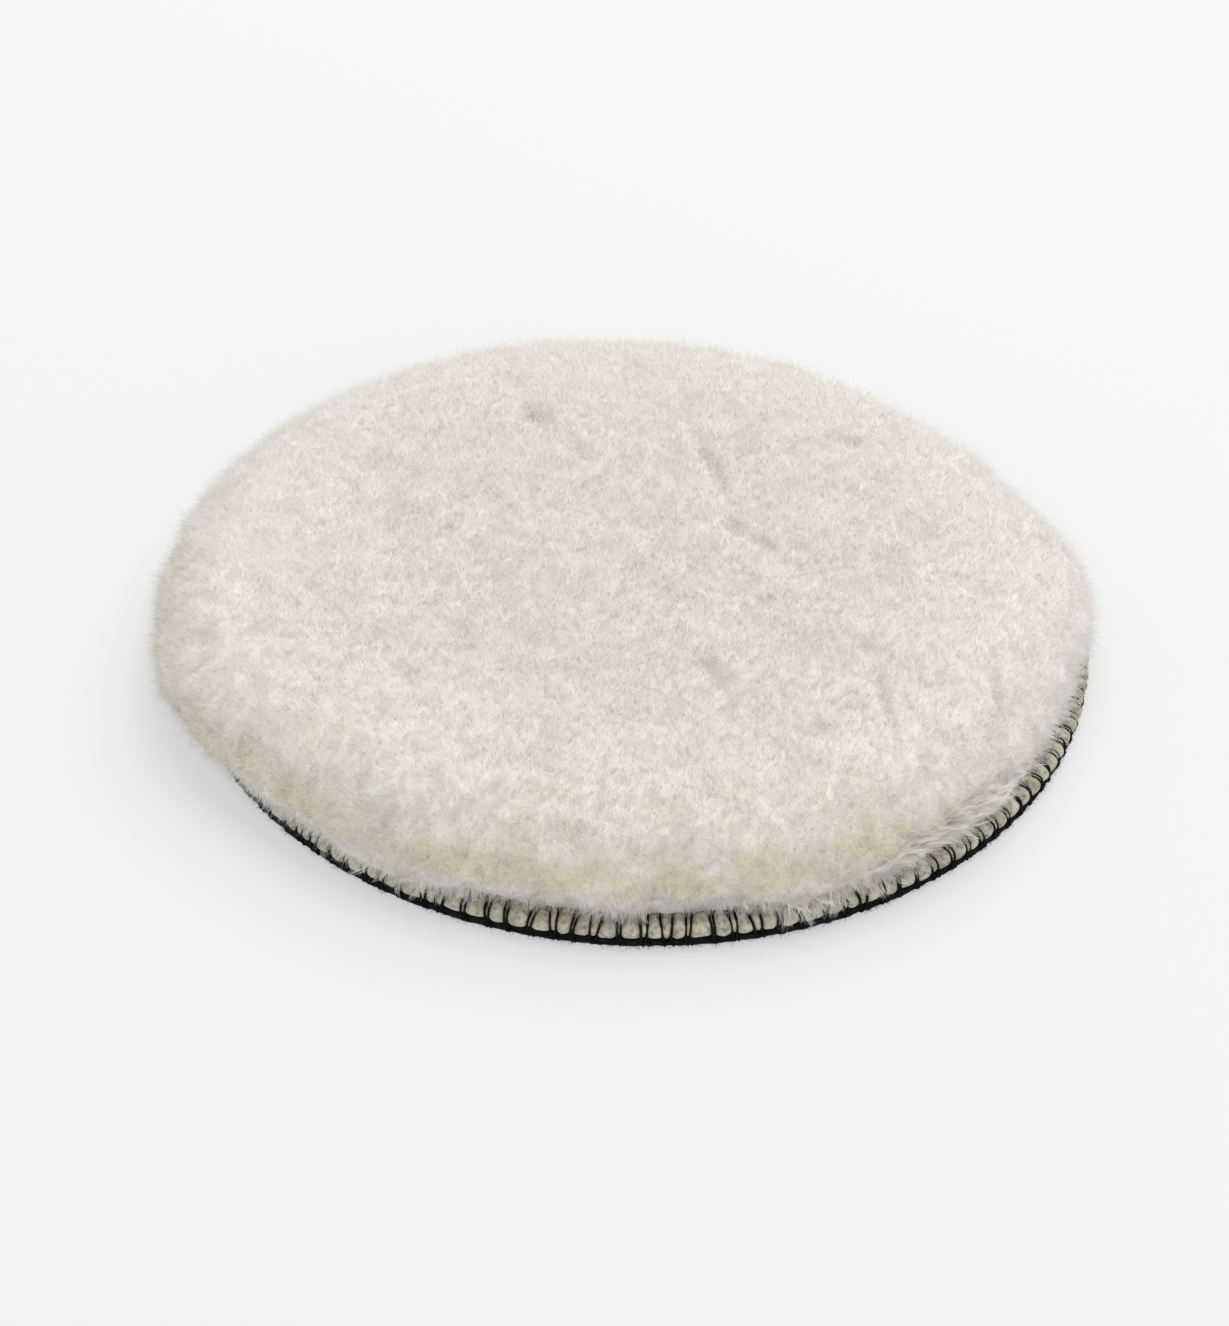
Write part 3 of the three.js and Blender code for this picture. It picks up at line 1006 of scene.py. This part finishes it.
def threads(rng):
    """The needle thread and the two looper threads of the overedge seam, and their fuzz."""
    material = black_material("sewing_thread", BLACK_THREAD, 0.1 * MM, 0.6)
    upper = looper_path(upper_strand)
    lower = looper_path(lower_strand)
    needle = needle_path()
    for name, path, node in (
        ("upper_looper_strands", upper, "upper_looper_thread"),
        ("lower_looper_strands", lower, "lower_looper_thread"),
        ("needle_stitches", needle, "needle_thread"),
    ):
        piece = twisted_thread(name, path, material)
        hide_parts(node)
    thread_fuzz(np.concatenate([upper, lower]), material, rng)


# --- The backing ---


def backing(material):
    """The knitted base cloth of the loops, with a slightly wavy cut edge."""
    azimuth = np.arange(BACKING_COLUMNS)[None] * TURN / BACKING_COLUMNS
    middle = (BACKING_LOW + BACKING_HIGH) / 2
    half = (BACKING_HIGH - BACKING_LOW) / 2
    over = [37.5, 8.0, 1.2, 0.3, 0.02]  # each ring's distance inside the rim, in millimetres
    inset = np.array(over + over[::-1])[:, None] * MM
    side = np.array([1, 1, 1, 1, 0.5, -0.5, -1, -1, -1, -1])[:, None]
    rings = polar(RIM - inset, azimuth, middle + half * side)
    flat = rings.reshape(-1, 3)
    at_edge = np.exp(-inset / (1.5 * MM))
    ragged = 0.14 * noise(flat, 1.3 * MM, SEED + 60) + 0.1 * noise(flat, 0.4 * MM, SEED + 61)
    wave = 0.12 * noise(flat, 6 * MM, SEED + 62)
    shape = rings.shape[:2]
    radial = at_edge * ragged.reshape(shape) * MM
    rings = rings + polar(radial, azimuth, at_edge * wave.reshape(shape) * MM)
    cloth = turned_disc("backing_cloth", rings, BACKING_HIGH, BACKING_LOW, material)
    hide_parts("backing_fabric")


def frayed_edge(material, rng):
    """Short black fibres that stand out of the backing's cut edge, in uneven bunches."""
    count = FRAYED_FIBRES
    azimuth = rng.uniform(0, TURN, count)
    level = rng.uniform(LOOP_LOW + 0.25 * MM, BACKING_HIGH, count)
    roots = polar(RIM - rng.uniform(0, 0.35, count) * MM, azimuth, level)
    bunched = 0.55 + 0.45 * noise(roots, 2.5 * MM, SEED + 63)
    heading = polar(1.0, azimuth, 0.0) + rng.normal(0, 0.55, (count, 3)) - (0, 0, 0.15)
    lengths = np.minimum(rng.gamma(3.0, 0.15 * MM, count) * (0.4 + bunched), 1.2 * MM)
    paths = curved_paths(roots, unit(heading), lengths, 0.7, 4, rng)
    paths[..., 2] = np.minimum(paths[..., 2], HIDE_LOW + 0.6 * MM)
    hairs("frayed_edge", paths, rng.uniform(0.03, 0.06, count) * MM, material)


def loop_paths(count, rng):
    """Small arches that hang from the backing, and lie lower where the stitches press them."""
    radius = (RIM - 0.4 * MM) * np.sqrt(rng.random(count))
    azimuth = rng.uniform(0, TURN, count)
    foot = polar(radius, azimuth, BACKING_LOW)
    pressed = ramp(radius, NEEDLE_RADIUS - 1.0 * MM, NEEDLE_RADIUS)
    drop = (LOOP_HIGH - LOOP_LOW) * rng.uniform(0.75, 0.95, count) * (1 - 0.25 * pressed)
    heading = rng.uniform(0, TURN, count)[:, None]
    half_width = rng.uniform(0.3, 0.55, count)[:, None] * MM
    turn = np.linspace(0, math.pi, 6)[None]
    sway = rng.normal(0, 0.15, count)[:, None] * MM * np.sin(turn)
    arch = polar(half_width * np.cos(turn), heading, -drop[:, None] * np.sin(turn))
    return foot[:, None] + arch + polar(sway, heading + math.pi / 2, 0.0)


def matted_edge(material):
    """The band of loops under the stitches, pressed and matted, and pinched at each strand."""
    sides = 12
    azimuth = np.arange(BACKING_COLUMNS)[None] * TURN / BACKING_COLUMNS
    turn = np.arange(sides)[:, None] * TURN / sides
    middle = RIM - 1.4 * MM
    plain = polar(middle + 1.5 * MM * np.cos(turn), azimuth, BACKING_LOW - 0.38 * MM)
    reach = np.broadcast_to(0.5 + 0.5 * np.cos(turn), plain.shape[:2])
    away = strand_distance(np.broadcast_to(azimuth, plain.shape[:2]), reach)
    pinch = 0.35 * np.exp(-((away / (0.3 * MM)) ** 2))
    lumps = 0.16 * noise(plain.reshape(-1, 3), 0.9 * MM, SEED + 65).reshape(away.shape)
    thick = (0.42 - pinch * (np.sin(turn) < 0) + lumps) * MM
    band = plain + polar(np.cos(turn) * lumps * MM, azimuth, np.sin(turn) * thick)
    band[..., 2] = np.maximum(band[..., 2], FLOOR_CLEARANCE)
    band = band.reshape(-1, 3)
    faces = triangles_of(grid_faces(sides + 1, BACKING_COLUMNS, closed=True) % len(band))
    ring = new_mesh("matted_loop_edge", band, faces, material)
    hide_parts("loop_pile")


def loop_pile(material, rng):
    """The loops that hooks grip, in two halves."""
    paths = loop_paths(LOOPS, rng)
    thickness = rng.uniform(0.10, 0.16, len(paths)) * MM
    for number, here in enumerate(sectors(paths[:, 0], 2), 1):
        name = f"loop_pile_{number}"
        piece = hairs(name, paths[here], thickness[here], material)
        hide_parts("loop_pile")


def adhesive(material):
    """The dried film of contact adhesive, with an uneven edge."""
    columns = 360
    azimuth = np.arange(columns)[None] * TURN / columns
    share = np.array([0.5, 0.9, 1.0, 1.0, 0.9, 0.5])[:, None]
    height = np.where(np.arange(6) < 3, HIDE_LOW, BACKING_HIGH)[:, None]
    rings = polar(FILM_RIM * share, azimuth, height)
    uneven = noise(polar(FILM_RIM, azimuth[0], 0.0), 5 * MM, SEED + 70)[None]
    rings = rings - polar(share**8 * (1 + uneven) * 0.8 * MM, azimuth, 0.0)
    film = turned_disc("adhesive_layer", rings, HIDE_LOW, BACKING_HIGH, material)
    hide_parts("adhesive_film")


# --- Floor, light and camera ---


def make_camera():
    data = bpy.data.cameras.new("camera")
    data.lens = CAMERA_LENS
    data.clip_start = 1 * MM
    camera = placed("camera", data)
    away = Vector((0, -math.cos(CAMERA_ELEVATION), math.sin(CAMERA_ELEVATION)))
    camera.location = CAMERA_AIM + away * CAMERA_DISTANCE
    camera.rotation_mode = "QUATERNION"
    camera.rotation_quaternion = Quaternion(away, CAMERA_ROLL) @ (-away).to_track_quat("-Z", "Y")
    bpy.context.scene.camera = camera


def make_floor():
    half = TABLE_HALF
    corners = [(-half, -half, 0), (half, -half, 0), (half, half, 0), (-half, half, 0)]
    mesh = bpy.data.meshes.new("floor")
    mesh.from_pydata(corners, [], [(0, 1, 2, 3)])
    mesh.materials.append(floor_material())
    placed("floor", mesh)


def make_area(name, place, size, power, colour):
    """A square softbox that faces the pad."""
    data = bpy.data.lights.new(name, "AREA")
    data.shape = "SQUARE"
    data.size = size
    data.energy = power
    data.color = colour
    light = placed(name, data)
    light.location = place
    light.rotation_euler = (-Vector(place)).to_track_quat("-Z", "Y").to_euler()


def make_light():
    """A white room, one large softbox above and behind the pad, and a weak fill in front."""
    world = bpy.data.worlds.new("studio")
    world.use_nodes = True
    background = world.node_tree.nodes["Background"]
    background.inputs["Color"].default_value = (1.0, 1.0, 1.0, 1)
    background.inputs["Strength"].default_value = ROOM_LIGHT
    bpy.context.scene.world = world
    make_area("softbox", (0.5, 0.85, 1.65), size=2.0, power=31.5, colour=(1.0, 0.99, 0.985))
    make_area("fill", (0.1, -1.6, 0.7), size=1.3, power=5.0, colour=(1.0, 0.985, 0.985))
    bpy.context.scene.view_settings.view_transform = "Standard"
    bpy.context.scene.cycles.diffuse_bounces = 10
    bpy.context.scene.cycles.max_bounces = 14


def main():
    make_camera()
    make_floor()
    make_light()
    rng = np.random.default_rng(SEED)
    fibre = wool_material("wool_fibre", fibre=True)
    surface = fleece_surface()
    fleece_body(surface[0], wool_material("wool", fibre=False))
    fleece_pile(surface, fibre, rng)
    fleece_fringe(surface, fibre, rng)
    rim_tufts(surface, fibre, rng)
    fleece_wisps(surface, fibre, rng)
    combed_lock(surface, fibre, rng)
    hide(hide_material())
    threads(rng)
    cloth = black_material("backing_knit", BLACK_CLOTH, 0.3 * MM, 0.9)
    loops = black_material("brushed_loops", BLACK_LOOPS, 0.3 * MM, 0.9)
    matted_edge(loops)
    loop_pile(loops, rng)
    backing(cloth)
    frayed_edge(cloth, rng)
    adhesive(adhesive_material())


main()
